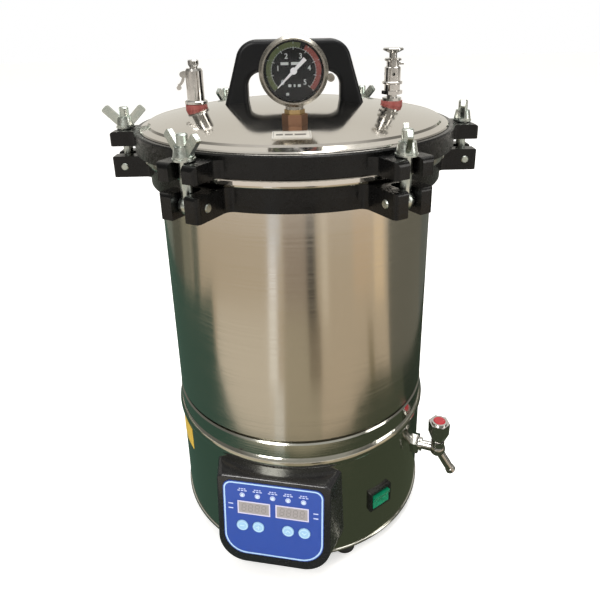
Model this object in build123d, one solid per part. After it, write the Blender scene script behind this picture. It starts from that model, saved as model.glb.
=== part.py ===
"""Benchtop steam autoclave: a stainless pot with a clamped lid on an electric base.

Z is up and the floor is z = 0. The vessel axis is the Z axis, -Y is the front and +X the right.
Lengths are millimetres and angles are degrees, measured from +X towards +Y.
"""
from math import cos, radians, sin, sqrt
import os

from build123d import *

# Vessel and base
BODY_R = 150.0
JACKET_SHEET = 1.0
CHAMBER_R = 140.0
CHAMBER_SHEET = 1.5
FOOT_H = 15.0
BASE_SHEET = 1.2
BASE_R = 151.0
BEAD_LOW = 138.0
BEAD_HIGH = 152.0
BEAD_R = 153.5
NECK_R = 150.5
BASE_TOP = 170.0
BODY_BOTTOM = 174.0
POT_FLOOR = 182.0
POT_FLOOR_SHEET = 2.0

# Flange, rim and lid heights
FLANGE_BOTTOM = 425.0
FLANGE_TOP = 448.0
FLANGE_R = 158.0
RIM_TOP = 458.5
RIM_R = 164.0
RING_BOTTOM = 459.0
RING_TOP = 479.3
RING_R = 170.4
RING_INNER_R = 141.0
LID_EDGE_R = 164.6
LID_LEDGE = 478.0
DOME_R = 155.5
DOME_EDGE = 485.4
DOME_TOP = 503.0
LID_SHEET = 2.5

# Clamps
CLAMPS = 6
CLAMP_STEP = 360.0 / CLAMPS
BOLT_CIRCLE = 185.0
PIN_Z = 436.5
PIN_R = 4.0
LUG_END = 198.0
LUG_WIDTH = 42.0
SLOT_WIDTH = 14.0
LUG_TOP = 474.5
BOLT_R = 5.0
BOLT_TOP = 498.0
EYE_R = 8.6
EYE_WIDTH = 12.0
WASHER_GAP = 1.1
WASHER_SHEET = 1.8
WASHER_R = 10.0
WING_TURNS = (73.0, -52.0, 67.0, 0.0, -45.0, -96.0)

# Handle
HANDLE_FOOT_HALF = 78.0
HANDLE_TOP_HALF = 55.0
HANDLE_TOP = 564.5
HANDLE_DEPTH = 24.0
HANDLE_OPENING_HALF = 49.0
HANDLE_OPENING_TOP = 532.0
HANDLE_OPENING_ROUND = 15.0
HANDLE_SCREW_X = 64.0
HANDLE_SCREW_R = 3.0

# Lid gasket
GASKET_IN = 143.5
GASKET_OUT = 152.5
GASKET_DEPTH = 3.5

# Pressure gauge: distances along its axis start at the back of the case
FITTING_CIRCLE = 106.0
GAUGE_Z = 541.0
GAUGE_R = 30.2
GAUGE_CASE_R = 27.8
GAUGE_CAVITY_R = 26.2
GAUGE_BACK_Y = -95.0
GAUGE_LENGTH = 25.0
GLASS_LOW = 20.5
GLASS_SHEET = 1.5
DIAL_LOW = 13.0
DIAL_SHEET = 1.0
DIAL_HOLE_R = 2.4
POINTER_REST = 225.0
POINTER_TIP = 20.5
POINTER_TAIL = 14.5
POINTER_SHAFT_R = 1.5
GAUGE_SHANK_R = 6.0
GAUGE_NECK_R = 5.0
GAUGE_NECK_H = 4.0
GAUGE_EAR_X = 32.8
GAUGE_EAR_Y = -6.7
GAUGE_EAR_R = 3.4
GAUGE_EAR_LOW = 4.0
GAUGE_EAR_LENGTH = 9.0
GAUGE_SOCKET_R = 8.0
GAUGE_HEX = 20.3
GAUGE_HEX_TOP = 503.6

# Lid valves: heights start at the top of the gaskets
VALVE_GASKET_R = 11.6
VALVE_GASKET_H = 4.3
VALVE_SHANK_R = 6.0
RELEASE_FLANGE_R = 12.2
RELEASE_FLANGE_H = 4.2
RELEASE_BARREL_R = 9.2
RELEASE_BARREL_H = 37.5
RELEASE_KNOB_R = 5.7
RELEASE_KNOB_H = 8.7
LEVER_PIVOT_OUT = 11.5
LEVER_PIVOT_H = 31.5
LEVER_PIN_R = 1.5
STEM_R = 2.0
CAGE_LOW_H = 19.0
CAGE_TOP_H = 44.1
CAGE_R = 8.6
CAGE_BORE_R = 6.2
SPRING_SEAT_H = 34.5
SPRING_WIRE_R = 0.7
SPRING_R = 4.2
SPRING_TURNS = 5
STEM_CAP_R = 10.8
STEM_CAP_H = 10.1

# Rubber feet
FOOT_CIRCLE = 135.0
FOOT_FIRST_ANGLE = -70.0
FEET = 4

# Inside the chamber
HEATER_CIRCLE = 95.0
HEATER_TUBE_R = 5.0
HEATER_Z = 200.0
HEATER_START = 100.0
HEATER_SWEEP = 330.0
SIEVE_Z = 214.0
SIEVE_SHEET = 1.5
SIEVE_R = 137.0
BASKET_R = 130.0
BASKET_TOP = 425.0
BASKET_SHEET = 1.0
BASKET_HOLE_R = 3.5
BASKET_HOLES = ((6, 36), (12, 72), (18, 106))

# Control box
BOX_ANGLE = -101.4
BOX_FACE_R = 168.0
BOX_FACE_Z = 85.0
BOX_TILT = 5.6
BOX_WALL = 3.0
BOX_DEPTH = 45.0
PANEL_HALF = 54.3
PANEL_TOP = 43.0
PANEL_BOTTOM = -48.0
PANEL_SHEET = 0.8
LED_PITCH = 16.5
LED_V = 27.0
DISPLAY_W = 33.0
DISPLAY_H = 13.4
DISPLAY_U = 20.7
DISPLAY_V = 11.6
BUTTON_V = -11.4
BUTTON_U = (-33.8, -16.2, 16.2, 33.8)
BUTTON_R = 6.4
BUTTON_STAND = 0.9
KEY_GAP = 0.3
LED_R = 1.8
LEDS = 5

# Rocker switch
SWITCH_ANGLE = -55.5
SWITCH_Z = 71.0
SWITCH_W = 31.0
SWITCH_H = 26.0
SWITCH_FACE = 3.0
SWITCH_DEPTH = 22.0
ROCKER_TILT = 8.0
ROCKER_PIVOT = 5.0
ROCKER_AXLE_R = 1.5

# Power inlet
INLET_ANGLE = 100.0
INLET_Z = 62.0
INLET_W = 50.0
INLET_H = 30.0
INLET_BODY_W = 30.0
INLET_BODY_H = 22.0
INLET_FACE = 4.0
INLET_DEPTH = 28.0

# Drain valve
DRAIN_ANGLE = -22.0
DRAIN_Z = 84.0
DRAIN_BODY_R = 179.0
DRAIN_PIPE_R = 5.5
DRAIN_BORE = 3.5
DRAIN_RISE_R = 115.0
DRAIN_SPINDLE_R = 3.0
SPOUT_LEAN = 147.0
SPOUT_LENGTH = 35.0

# Derived values
DOME_RISE = DOME_TOP - DOME_EDGE
DOME_SPHERE_R = (DOME_R ** 2 + DOME_RISE ** 2) / (2 * DOME_RISE)
DOME_CENTRE_Z = DOME_TOP - DOME_SPHERE_R
WASHER_Z = LUG_TOP + WASHER_GAP
NUT_Z = WASHER_Z + WASHER_SHEET
GASKET_TOP = RING_BOTTOM + GASKET_DEPTH
DRAIN_BONNET_TOP = DRAIN_Z + 12.0
DRAIN_SPINDLE_TOP = DRAIN_Z + 30.0
DRAIN_KNOB_TOP = DRAIN_Z + 41.0
GAUGE_SOCKET_Z = GAUGE_HEX_TOP + 4.0
SLIDE_GAP = 0.05


def ring(inner, outer, low, high):
    """Flat ring about the vessel axis."""
    return Pos(0, 0, low) * extrude(Circle(outer) - Circle(inner), high - low)


def rod(radius, low, high, x=0.0, y=0.0):
    """Upright round bar."""
    return Pos(x, y, low) * extrude(Circle(radius), high - low)


def hexagon(flats, low, high, x=0.0, y=0.0):
    """Upright hexagonal bar, sized across its flats."""
    return Pos(x, y, low) * extrude(RegularPolygon(flats / 2, 6, major_radius=False), high - low)


def turned(outline):
    """Solid of revolution from a closed (radius, height) outline."""
    return revolve(Plane.XZ * outline, Axis.Z)


def box_between(x, y, z):
    """Box from three (low, high) pairs."""
    size = [high - low for low, high in (x, y, z)]
    middle = [(low + high) / 2 for low, high in (x, y, z)]
    return Pos(*middle) * Box(*size)


def dome_height(radius, inset=0.0):
    """Height of the lid's outer dome, or of a shell a little inside it."""
    return DOME_CENTRE_Z + sqrt((DOME_SPHERE_R - inset) ** 2 - radius ** 2)


def dome_ball(inset=0.0):
    """The ball whose top is the lid's dome."""
    return Pos(0, 0, DOME_CENTRE_Z) * Sphere(DOME_SPHERE_R - inset)


def outward_plane(angle, radius, height, tilt=0.0):
    """Plane on the vessel's side: local x runs right, y up and z outward."""
    turn = radians(angle)
    lean = radians(tilt)
    outward = Vector(cos(turn), sin(turn), 0)
    normal = outward * cos(lean) + Vector(0, 0, sin(lean))
    origin = outward * radius + Vector(0, 0, height)
    return Plane(origin=origin, x_dir=(-sin(turn), cos(turn), 0), z_dir=normal)


def around(angle, part):
    """Turn a piece about the vessel axis."""
    return Rot(0, 0, angle) * part


def clamp_angles():
    return [CLAMP_STEP * index for index in range(CLAMPS)]


# ---------------------------------------------------------------- vessel and base

def make_base_shell():
    inner_r = BASE_R - BASE_SHEET
    neck_inner = NECK_R - BASE_SHEET
    lip_r = CHAMBER_R - 2
    rim = 3.5
    bead_mid = (BEAD_LOW + BEAD_HIGH) / 2
    with BuildSketch() as outline:
        with BuildLine():
            Polyline((lip_r, BASE_TOP), (NECK_R - 1.5, BASE_TOP), (NECK_R, BASE_TOP - 1.5),
                     (NECK_R, BEAD_HIGH))
            ThreePointArc((NECK_R, BEAD_HIGH), (BEAD_R, bead_mid), (BASE_R, BEAD_LOW))
            Line((BASE_R, BEAD_LOW), (BASE_R, FOOT_H + rim))
            ThreePointArc((BASE_R, FOOT_H + rim), (BASE_R + rim / 2, FOOT_H + rim / 2),
                          (BASE_R, FOOT_H))
            Polyline((BASE_R, FOOT_H), (inner_r, FOOT_H), (inner_r, BEAD_LOW))
            ThreePointArc((inner_r, BEAD_LOW), (BEAD_R - BASE_SHEET, bead_mid),
                          (neck_inner, BEAD_HIGH))
            Polyline((neck_inner, BEAD_HIGH), (neck_inner, BASE_TOP - BASE_SHEET),
                     (lip_r, BASE_TOP - BASE_SHEET), (lip_r, BASE_TOP))
        make_face()
    shell = turned(outline.sketch)
    shell -= outward_plane(SWITCH_ANGLE, BASE_R, SWITCH_Z) * Box(SWITCH_W - 4, SWITCH_H - 4, 20)
    shell -= outward_plane(INLET_ANGLE, BASE_R, INLET_Z) * Box(INLET_BODY_W, INLET_BODY_H, 20)
    shell -= outward_plane(DRAIN_ANGLE, BASE_R, DRAIN_Z) * Cylinder(DRAIN_PIPE_R, 20)
    return shell


def make_base_plate():
    return rod(BASE_R - BASE_SHEET, FOOT_H + 1, FOOT_H + 2.5)


def make_feet():
    foot = turned(make_face(Polyline((0, 0), (11, 0), (12, 1), (14, FOOT_H + 1),
                                     (0, FOOT_H + 1), close=True)))
    return [around(FOOT_FIRST_ANGLE + 360 / FEET * index, Pos(FOOT_CIRCLE, 0, 0) * foot)
            for index in range(FEET)]


def make_body_jacket():
    inner = BODY_R - JACKET_SHEET
    wall = CHAMBER_R + CHAMBER_SHEET
    return turned(make_face(Polyline(
        (wall, BODY_BOTTOM), (BODY_R, BODY_BOTTOM), (BODY_R, FLANGE_BOTTOM),
        (inner, FLANGE_BOTTOM), (inner, BODY_BOTTOM + JACKET_SHEET),
        (wall, BODY_BOTTOM + JACKET_SHEET), close=True)))


def make_chamber():
    wall = CHAMBER_R + CHAMBER_SHEET
    floor = POT_FLOOR + POT_FLOOR_SHEET
    pot = turned(make_face(Polyline(
        (0, POT_FLOOR), (CHAMBER_R, POT_FLOOR), (CHAMBER_R, BASE_TOP), (wall, BASE_TOP),
        (wall, FLANGE_TOP), (CHAMBER_R, FLANGE_TOP), (CHAMBER_R, floor), (0, floor),
        close=True)))
    for angle in (HEATER_START, HEATER_START + HEATER_SWEEP):
        pot -= around(angle, rod(HEATER_TUBE_R, POT_FLOOR - 1, floor + 1, HEATER_CIRCLE))
    drain = rod(DRAIN_BORE, POT_FLOOR - 1, floor + 1, DRAIN_RISE_R)
    return pot - around(DRAIN_ANGLE, drain)


def make_rim_band():
    band = ring(CHAMBER_R, RIM_R, FLANGE_TOP, RIM_TOP)
    edges = band.edges().filter_by(GeomType.CIRCLE).sort_by(SortBy.RADIUS)[-2:]
    return fillet(edges, 3.5)


def lugged_plate(ring_r, low, high, top_round, slot_start):
    """Round plate with six fork lugs, their slots and the webs that join them to the ring."""
    plan = Sketch() + Circle(ring_r)
    for angle in clamp_angles():
        plan += Rot(0, 0, angle) * Pos(LUG_END / 2, 0) * Rectangle(LUG_END, LUG_WIDTH)
    corner_r = sqrt(LUG_END ** 2 + (LUG_WIDTH / 2) ** 2)
    plan = fillet([spot for spot in plan.vertices()
                   if abs(spot.center().length - corner_r) < 0.1], 4)
    plan = fillet([spot for spot in plan.vertices()
                   if abs(spot.center().length - ring_r) < 0.1], 8)
    plate = Pos(0, 0, low) * extrude(plan, high - low)
    half = SLOT_WIDTH / 2
    slot_mid = slot_start + half
    cutter = rod(half, low - 1, high + 1, slot_mid)
    cutter += box_between((slot_mid, LUG_END + 5), (-half, half), (low - 1, high + 1))
    corner = Pos(LUG_END - top_round / 2, high - top_round / 2) * Rectangle(top_round, top_round)
    corner -= Pos(LUG_END - top_round, high - top_round) * Circle(top_round)
    cutter += extrude(Plane.XZ * corner, LUG_WIDTH, both=True)
    for angle in clamp_angles():
        plate -= around(angle, cutter)
    return plate


def make_flange_ring():
    flange = lugged_plate(FLANGE_R, FLANGE_BOTTOM, FLANGE_TOP, 3, 170)
    flange -= rod(CHAMBER_R + CHAMBER_SHEET, FLANGE_BOTTOM - 1, FLANGE_TOP + 1)
    pin_hole = Pos(BOLT_CIRCLE, 0, PIN_Z) * Rot(90, 0, 0) * Cylinder(PIN_R, LUG_WIDTH + 10)
    for angle in clamp_angles():
        flange -= around(angle, pin_hole)
    return flange


def make_hinge_pins():
    pin = Pos(BOLT_CIRCLE, 0, PIN_Z) * Rot(90, 0, 0) * Cylinder(PIN_R, LUG_WIDTH + 2.4)
    pin = chamfer(pin.edges().filter_by(GeomType.CIRCLE), 0.8)
    return [around(angle, pin) for angle in clamp_angles()]


def make_heating_element():
    section = make_face(Pos(HEATER_CIRCLE, HEATER_Z) * CenterArc((0, 0), HEATER_TUBE_R, 0, 360))
    loop = around(HEATER_START, revolve(Plane.XZ * section, Axis.Z, HEATER_SWEEP))
    leg = rod(HEATER_TUBE_R, POT_FLOOR - 14, HEATER_Z, HEATER_CIRCLE)
    leg += Pos(HEATER_CIRCLE, 0, HEATER_Z) * Sphere(HEATER_TUBE_R)
    floor = POT_FLOOR + POT_FLOOR_SHEET
    leg += rod(9, floor, floor + 3, HEATER_CIRCLE)
    leg += hexagon(17, POT_FLOOR - 6, POT_FLOOR, HEATER_CIRCLE)
    for angle in (HEATER_START, HEATER_START + HEATER_SWEEP):
        loop += around(angle, leg)
    return loop


def make_sieve_plate():
    plate = rod(SIEVE_R, SIEVE_Z, SIEVE_Z + SIEVE_SHEET)
    holes = Sketch()
    for count, radius in ((6, 28), (12, 56), (18, 84), (24, 110)):
        holes += PolarLocations(radius, count) * Circle(4)
    plate -= Pos(0, 0, SIEVE_Z - 1) * extrude(holes, SIEVE_SHEET + 2)
    for angle in (30, 150, 270):
        plate += around(angle, rod(4, POT_FLOOR + POT_FLOOR_SHEET, SIEVE_Z, 126))
    return plate


def make_basket():
    low = SIEVE_Z + SIEVE_SHEET
    inner = BASKET_R - BASKET_SHEET
    pot = turned(make_face(Polyline(
        (0, low), (BASKET_R, low), (BASKET_R, BASKET_TOP - 5), (BASKET_R + 3, BASKET_TOP - 5),
        (BASKET_R + 3, BASKET_TOP), (inner, BASKET_TOP), (inner, low + BASKET_SHEET),
        (0, low + BASKET_SHEET), close=True)))
    holes = Sketch()
    for count, radius in BASKET_HOLES:
        holes += PolarLocations(radius, count) * Circle(BASKET_HOLE_R)
    return pot - Pos(0, 0, low - 1) * extrude(holes, BASKET_SHEET + 2)


# ---------------------------------------------------------------- drain valve

def make_drain_valve():
    level = Pos(0, 0, DRAIN_Z) * Rot(0, 90, 0)
    run = DRAIN_BODY_R - DRAIN_RISE_R
    pipe = level * Pos(0, 0, DRAIN_RISE_R) * extrude(Circle(DRAIN_PIPE_R), run)
    riser = rod(DRAIN_PIPE_R, DRAIN_Z, POT_FLOOR, DRAIN_RISE_R)
    elbow = Pos(DRAIN_RISE_R, 0, DRAIN_Z) * Sphere(DRAIN_PIPE_R)
    body = Pos(DRAIN_BODY_R, 0, DRAIN_Z) * Sphere(9.5)
    body += rod(8, DRAIN_Z, DRAIN_BONNET_TOP, DRAIN_BODY_R)
    body += rod(DRAIN_SPINDLE_R, DRAIN_Z, DRAIN_SPINDLE_TOP, DRAIN_BODY_R)
    nut = level * Pos(0, 0, BASE_R - 0.5) * extrude(
        RegularPolygon(11, 6, major_radius=False), 5.5)
    nut -= rod(BASE_R, DRAIN_Z - 30, DRAIN_Z + 30)
    collar = level * Pos(0, 0, BASE_R + 4) * extrude(Circle(8), 5)
    spout_frame = Pos(DRAIN_BODY_R, 0, DRAIN_Z) * Rot(0, SPOUT_LEAN, 0)
    spout = spout_frame * extrude(Circle(5.2), SPOUT_LENGTH)
    tip_ring = spout_frame * Pos(0, 0, SPOUT_LENGTH - 5) * extrude(Circle(6), 4)
    valve = pipe + riser + elbow + body + nut + collar + spout + tip_ring
    valve -= rod(DRAIN_BORE, DRAIN_Z, POT_FLOOR + 1, DRAIN_RISE_R)
    valve -= level * Pos(0, 0, DRAIN_RISE_R) * extrude(Circle(DRAIN_BORE), run)
    valve -= spout_frame * extrude(Circle(DRAIN_BORE), SPOUT_LENGTH + 1)
    return around(DRAIN_ANGLE, valve)


def make_drain_knob():
    low = DRAIN_BONNET_TOP + 0.5
    foot = Pos(0, 0, low) * RegularPolygon(6.8, 6, major_radius=False)
    shoulder = Pos(0, 0, low + 11) * RegularPolygon(10.8, 6, major_radius=False)
    crown = Pos(0, 0, DRAIN_KNOB_TOP - 2) * RegularPolygon(11.2, 6, major_radius=False)
    knob = loft([foot, shoulder, crown], ruled=True)
    knob += rod(9.2, DRAIN_KNOB_TOP - 2.5, DRAIN_KNOB_TOP)
    knob -= rod(DRAIN_SPINDLE_R + SLIDE_GAP, low - 1, DRAIN_SPINDLE_TOP + 1)
    knob -= rod(7.2, DRAIN_KNOB_TOP - 1.5, DRAIN_KNOB_TOP + 1)
    return around(DRAIN_ANGLE, Pos(DRAIN_BODY_R, 0, 0) * knob)


def make_drain_knob_cap():
    cap = turned(make_face(Polyline(
        (0, DRAIN_KNOB_TOP - 1.5), (7.2, DRAIN_KNOB_TOP - 1.5), (7.2, DRAIN_KNOB_TOP),
        (6, DRAIN_KNOB_TOP + 0.8), (0, DRAIN_KNOB_TOP + 0.8), close=True)))
    return around(DRAIN_ANGLE, Pos(DRAIN_BODY_R, 0, 0) * cap)


# ---------------------------------------------------------------- controls

def box_plane():
    """Plane of the control face."""
    return outward_plane(BOX_ANGLE, BOX_FACE_R, BOX_FACE_Z, BOX_TILT)


def led_places():
    """Lamp positions across the face, centred."""
    return [(index - (LEDS - 1) / 2) * LED_PITCH for index in range(LEDS)]


def shield_outline(half, top, bottom, top_round, bottom_round):
    """Upright rectangle with small upper and large lower corner rounds."""
    face = make_face(Polyline((-half, bottom), (half, bottom), (half, top), (-half, top),
                              close=True))
    face = fillet(face.vertices().sort_by(Axis.Y)[-2:], top_round)
    return fillet(face.vertices().sort_by(Axis.Y)[:2], bottom_round)


def box_loft(wall, front):
    """Flared block behind the control face, inset by a wall thickness."""
    face = Pos(0, 0, front) * shield_outline(61 - wall, 48 - wall, wall - 60, 7, 30 - wall)
    back = Pos(0, 0, -BOX_DEPTH) * shield_outline(73 - wall, 52 - wall, wall - 67, 7, 34 - wall)
    return loft([face, back], ruled=True)


def make_control_housing():
    shell = box_loft(0, 0)
    shell = fillet(shell.faces().sort_by(Axis.Z)[-1].edges(), 2.5)
    shell -= box_loft(BOX_WALL, -BOX_WALL)
    for u in BUTTON_U:
        shell -= Pos(u, BUTTON_V, 0) * Cylinder(BUTTON_R + KEY_GAP, 20)
    for side in (-1, 1):
        shell -= Pos(side * DISPLAY_U, DISPLAY_V, 0) * Box(DISPLAY_W, DISPLAY_H, 20)
    for u in led_places():
        shell -= Pos(u, LED_V, 0) * Cylinder(LED_R, 20)
    placed = box_plane() * shell - rod(BASE_R, 0, BASE_TOP)
    return placed - rod(BASE_R + 1.9, 0, FOOT_H + 3.6)


def make_control_panel():
    sheet = shield_outline(PANEL_HALF, PANEL_TOP, PANEL_BOTTOM, 9, 24)
    for u in BUTTON_U:
        sheet -= Pos(u, BUTTON_V) * Circle(BUTTON_R + KEY_GAP)
    for side in (-1, 1):
        sheet -= Pos(side * DISPLAY_U, DISPLAY_V) * Rectangle(DISPLAY_W, DISPLAY_H)
    for u in led_places():
        sheet -= Pos(u, LED_V) * Circle(LED_R)
    return box_plane() * extrude(sheet, PANEL_SHEET)


def make_display_windows():
    window = extrude(Rectangle(DISPLAY_W, DISPLAY_H), PANEL_SHEET + BOX_WALL + 2)
    low = -BOX_WALL - 2
    return [box_plane() * Pos(side * DISPLAY_U, DISPLAY_V, low) * window for side in (-1, 1)]


def make_indicator_leds():
    lamp = extrude(Circle(LED_R), PANEL_SHEET + BOX_WALL + 2.3)
    low = -BOX_WALL - 2
    return [box_plane() * Pos(u, LED_V, low) * lamp for u in led_places()]


def make_button(u):
    """Round key with a hidden skirt behind the face that keeps it in place."""
    low = -BOX_WALL - 1.5
    key = Pos(0, 0, low) * extrude(Circle(BUTTON_R), PANEL_SHEET + BUTTON_STAND - low)
    key = chamfer(key.edges().filter_by(GeomType.CIRCLE).sort_by(Axis.Z)[-1:], 0.5)
    key += Pos(0, 0, low) * extrude(Circle(BUTTON_R + 1.2), 1.4)
    return box_plane() * Pos(u, BUTTON_V, 0) * key


def make_control_board():
    """Circuit board behind the lamps and displays, standing on four posts of the housing wall."""
    board = Pos(0, 6, -BOX_WALL - 3.6) * Box(104, 62, 1.6)
    for u in BUTTON_U:
        board -= Pos(u, BUTTON_V, 0) * Cylinder(BUTTON_R + 2, 40)
    for x in (-50, 50):
        for y in (-22, 34):
            board += Pos(x, y, -BOX_WALL - 1.4) * Cylinder(1.5, 2.8)
    return box_plane() * board


def switch_plane():
    return outward_plane(SWITCH_ANGLE, BASE_R + SWITCH_FACE, SWITCH_Z)


def make_rocker_bezel():
    face = extrude(RectangleRounded(SWITCH_W, SWITCH_H, 1.5), -SWITCH_FACE - 2)
    face = switch_plane() * face - rod(BASE_R, SWITCH_Z - 30, SWITCH_Z + 30)
    body = extrude(Rectangle(SWITCH_W - 4, SWITCH_H - 4), -SWITCH_DEPTH)
    bezel = face + switch_plane() * body
    bezel -= switch_plane() * Pos(0, 0, -6) * Box(SWITCH_W - 7, SWITCH_H - 7, 14)
    axle = switch_plane() * Pos(0, 0, -ROCKER_PIVOT) * Rot(0, 90, 0)
    return bezel - axle * Cylinder(ROCKER_AXLE_R + SLIDE_GAP, SWITCH_W - 5)


def make_rocker():
    half = SWITCH_H / 2 - 4.8
    crest = ROCKER_PIVOT + 0.6
    rise = crest + 1.7
    side = make_face(Polyline((-half, rise), (0, crest), (half, rise), (half - 1, 0), (4, -4),
                              (-4, -4), (-half + 1, 0), close=True))
    slab = extrude(side, (SWITCH_W - 8) / 2, both=True)
    rocker = Rot(0, 90, 0) * Rot(0, 0, 90) * slab
    rocker += Rot(0, 90, 0) * Cylinder(ROCKER_AXLE_R, SWITCH_W - 6)
    tilted = Rot(ROCKER_TILT, 0, 0) * rocker
    return switch_plane() * Pos(0, 0, -ROCKER_PIVOT) * tilted


def make_power_inlet():
    plane = outward_plane(INLET_ANGLE, BASE_R + INLET_FACE, INLET_Z)
    face = plane * extrude(RectangleRounded(INLET_W, INLET_H, 3), -6)
    face -= rod(BASE_R, INLET_Z - 30, INLET_Z + 30)
    inlet = face + plane * extrude(Rectangle(INLET_BODY_W, INLET_BODY_H), -INLET_DEPTH)
    inlet -= plane * Pos(0, 0, -17) * extrude(RectangleRounded(25, 17, 2), 20)
    for x, y in ((-7, -2), (0, 3), (7, -2)):
        inlet += plane * Pos(x, y, -18) * extrude(Rectangle(2, 4), 13)
    return inlet


# ---------------------------------------------------------------- lid

def make_lid_plate():
    inner_r = DOME_R - 1.5
    inner_z = dome_height(inner_r, LID_SHEET)
    mid = DOME_R / 2
    with BuildSketch() as outline:
        with BuildLine():
            ThreePointArc((0, DOME_TOP), (mid, dome_height(mid)), (DOME_R, DOME_EDGE))
            Polyline((DOME_R, DOME_EDGE), (DOME_R + 1.6, DOME_EDGE - 2.1),
                     (LID_EDGE_R - 1.2, LID_LEDGE + 3), (LID_EDGE_R, LID_LEDGE + 1.8),
                     (LID_EDGE_R, LID_LEDGE), (DOME_R + 2.5, LID_LEDGE), (inner_r, inner_z))
            ThreePointArc((inner_r, inner_z), (mid, dome_height(mid, LID_SHEET)),
                          (0, DOME_TOP - LID_SHEET))
            Line((0, DOME_TOP - LID_SHEET), (0, DOME_TOP))
        make_face()
    plate = turned(outline.sketch)
    low = DOME_EDGE - 20
    plate -= rod(GAUGE_SHANK_R, low, DOME_TOP + 5, 0, -FITTING_CIRCLE)
    for side in (-1, 1):
        plate -= rod(VALVE_SHANK_R, low, DOME_TOP + 5, side * FITTING_CIRCLE)
        plate -= rod(HANDLE_SCREW_R, low, DOME_TOP + 5, side * HANDLE_SCREW_X)
    return plate


def make_lid_ring():
    lip = LID_EDGE_R + 0.4
    plate = lugged_plate(RING_R, RING_BOTTOM, LUG_TOP, 5, 177)
    plate -= rod(RING_INNER_R, RING_BOTTOM - 1, LUG_TOP + 1)
    plate -= ring(GASKET_IN, GASKET_OUT, RING_BOTTOM - 1, GASKET_TOP)
    upper = turned(make_face(Polyline(
        (RING_INNER_R, LUG_TOP), (RING_R, LUG_TOP), (RING_R, RING_TOP - 1.5),
        (RING_R - 1.5, RING_TOP), (lip, RING_TOP), (lip, LID_LEDGE), (RING_INNER_R, LID_LEDGE),
        close=True)))
    return plate + upper


def make_lid_gasket():
    return ring(GASKET_IN, GASKET_OUT, RIM_TOP + 0.05, GASKET_TOP)


def make_handle():
    foot_z = DOME_EDGE
    outer = make_face(Polyline((-HANDLE_FOOT_HALF, foot_z), (HANDLE_FOOT_HALF, foot_z),
                               (HANDLE_TOP_HALF, HANDLE_TOP), (-HANDLE_TOP_HALF, HANDLE_TOP),
                               close=True))
    outer = fillet(outer.vertices().sort_by(Axis.Y)[-2:], 22)
    half = HANDLE_OPENING_HALF
    inner = make_face(Polyline((-half, foot_z - 5), (half, foot_z - 5),
                               (half, HANDLE_OPENING_TOP), (-half, HANDLE_OPENING_TOP), close=True))
    inner = fillet(inner.vertices().sort_by(Axis.Y)[-2:], HANDLE_OPENING_ROUND)
    arch = extrude(Plane.XZ * (outer - inner), HANDLE_DEPTH / 2, both=True)
    long_edges = arch.edges().filter_by(
        lambda edge: abs(abs(edge.center().Y) - HANDLE_DEPTH / 2) < 0.01
        and edge.center().Z > foot_z + 1)
    arch = fillet(long_edges, 5)
    arch -= dome_ball()
    for side in (-1, 1):
        arch -= rod(HANDLE_SCREW_R, foot_z, DOME_TOP + 14, side * HANDLE_SCREW_X)
    return arch


def make_handle_screws():
    screws = []
    for side in (-1, 1):
        x = side * HANDLE_SCREW_X
        low = dome_height(HANDLE_SCREW_X, LID_SHEET) - 5
        screw = rod(HANDLE_SCREW_R, low, DOME_TOP + 14, x)
        head = rod(7, low, low + 8, x) & dome_ball(LID_SHEET)
        screws.append(screw + head)
    return screws


# ---------------------------------------------------------------- pressure gauge

def gauge_plane():
    """Plane of the gauge's back: local z points to the front along the gauge's axis."""
    return Plane(origin=(0, GAUGE_BACK_Y, GAUGE_Z), x_dir=(1, 0, 0), z_dir=(0, -1, 0))


def gauge_socket():
    """Round boss under the case that takes the fitting's neck."""
    top = GAUGE_Z - GAUGE_CAVITY_R - 0.5
    return rod(GAUGE_SOCKET_R, GAUGE_SOCKET_Z, top, 0, -FITTING_CIRCLE)


def gauge_ear():
    """Small ear with a socket screw that clamps the gauge's ring."""
    ear = Pos(GAUGE_EAR_X, GAUGE_EAR_Y, GAUGE_EAR_LOW) * extrude(Circle(GAUGE_EAR_R), GAUGE_EAR_LENGTH)
    web = Pos(GAUGE_EAR_X - 4.4, GAUGE_EAR_Y, GAUGE_EAR_LOW + GAUGE_EAR_LENGTH / 2) * Box(5.2, 4, 5)
    socket = Pos(GAUGE_EAR_X, GAUGE_EAR_Y, GAUGE_EAR_LOW + GAUGE_EAR_LENGTH - 1.5) * extrude(
        RegularPolygon(1.9, 6), 2)
    return ear + web - socket


def make_gauge_case():
    glass_top = GLASS_LOW + GLASS_SHEET
    seat_r = GAUGE_CAVITY_R + 1.5
    boss_r = 8.0
    bore_r = POINTER_SHAFT_R + SLIDE_GAP
    case = revolve(Plane.XZ * make_face(Polyline(
        (0, 0), (GAUGE_CASE_R - 3, 0), (GAUGE_CASE_R, 3), (GAUGE_CASE_R, 15), (GAUGE_R, 16),
        (GAUGE_R, GAUGE_LENGTH - 3), (GAUGE_R - 2.6, GAUGE_LENGTH), (GAUGE_CAVITY_R, GAUGE_LENGTH),
        (GAUGE_CAVITY_R, glass_top), (seat_r, glass_top), (seat_r, GLASS_LOW),
        (GAUGE_CAVITY_R, GLASS_LOW), (GAUGE_CAVITY_R, 2), (boss_r, 2), (boss_r, DIAL_LOW),
        (bore_r, DIAL_LOW), (bore_r, 5), (0, 5), close=True)), Axis.Z)
    case = gauge_plane() * (case + gauge_ear()) + gauge_socket()
    neck_top = GAUGE_SOCKET_Z + GAUGE_NECK_H
    return case - rod(GAUGE_NECK_R, GAUGE_SOCKET_Z - 1, neck_top, 0, -FITTING_CIRCLE)


def make_gauge_glass():
    disc = extrude(Circle(GAUGE_CAVITY_R + 1.5), GLASS_SHEET)
    return gauge_plane() * Pos(0, 0, GLASS_LOW) * disc


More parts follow.
